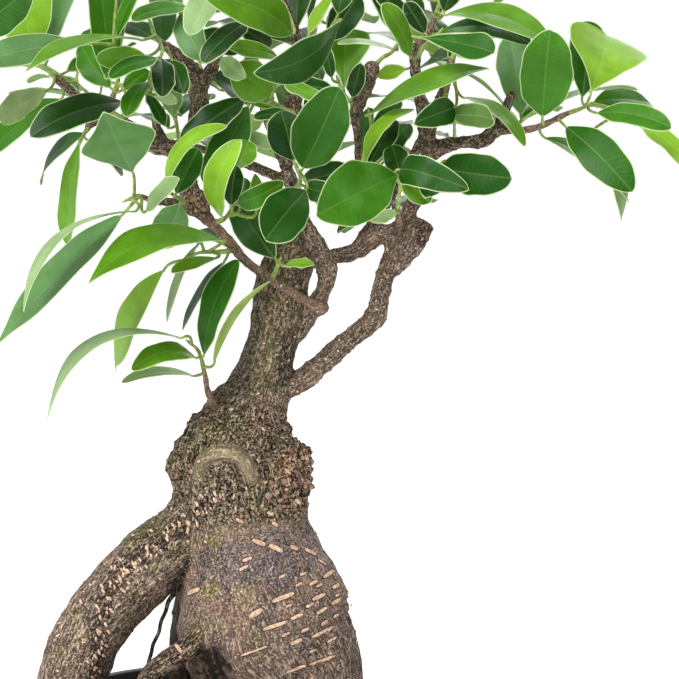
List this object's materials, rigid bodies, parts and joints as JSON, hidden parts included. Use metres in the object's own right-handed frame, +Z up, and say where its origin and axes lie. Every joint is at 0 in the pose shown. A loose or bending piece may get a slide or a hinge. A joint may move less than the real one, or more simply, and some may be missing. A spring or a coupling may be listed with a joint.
{
  "type": "ficus ginseng bonsai",
  "caption": "Ginseng fig bonsai in a plain round pot: swollen arching roots, a grafted trunk and leafy stems with glossy oval leaves.",
  "frame": {"origin": "centre of the pot's flat underside", "axes": "+Z up, -Y towards the front, where the callus ring and the arched root show, +X to the right seen from the front"},
  "size_m": [0.3436, 0.2358, 0.4625],
  "materials": {
    "pot": "satin black plastic",
    "soil": "loose crumbly potting soil",
    "bark": "grey-brown bark with pale dashes, smooth on the roots and rough at the graft",
    "leaves": "glossy leathery green leaves with paler midribs and undersides on green-brown twigs"
  },
  "bodies": {
    "root": {"pot": "pot", "soil": "soil", "wood": "bark", "leafyStemLeftTip": "leaves", "leafyStemLeftUpright": "leaves", "leafyStemLeftLow": "leaves", "leafyStemLeftFork": "leaves", "leafyStemLeftCluster": "leaves", "leafyStemLeftTop": "leaves", "leafyStemUpperLeft": "leaves", "leafyStemInner": "leaves", "leafyStemTopFront": "leaves", "leafyStemTop": "leaves", "leafyStemCentre": "leaves", "leafyStemCentreTop": "leaves", "leafyStemCentreLow": "leaves", "leafyStemFront": "leaves", "leafyStemRightMid": "leaves", "leafyStemRightFork": "leaves", "leafyStemRightCrown": "leaves", "leafyStemRightTop": "leaves", "leafyStemFarRight": "leaves", "leafyStemLowLeft": "leaves", "leafyStemClumpLeft": "leaves", "leafyStemClumpUp": "leaves", "leafyStemDroop": "leaves", "leafyStemSide": "leaves", "leafyStemInnerFront": "leaves", "leafyStemHang": "leaves", "leafyStemFar1": "leaves", "leafyStemFar2": "leaves", "leafyStemFar3": "leaves", "leafyStemFar4": "leaves", "leafyStemFar5": "leaves", "leafyStemFar6": "leaves", "leafyStemFar7": "leaves", "leafyStemFar8": "leaves", "leafyStemFar9": "leaves", "leafyStemFar10": "leaves", "leafyStemFar11": "leaves", "leafyStemFar12": "leaves"}
  },
  "joints": []
}
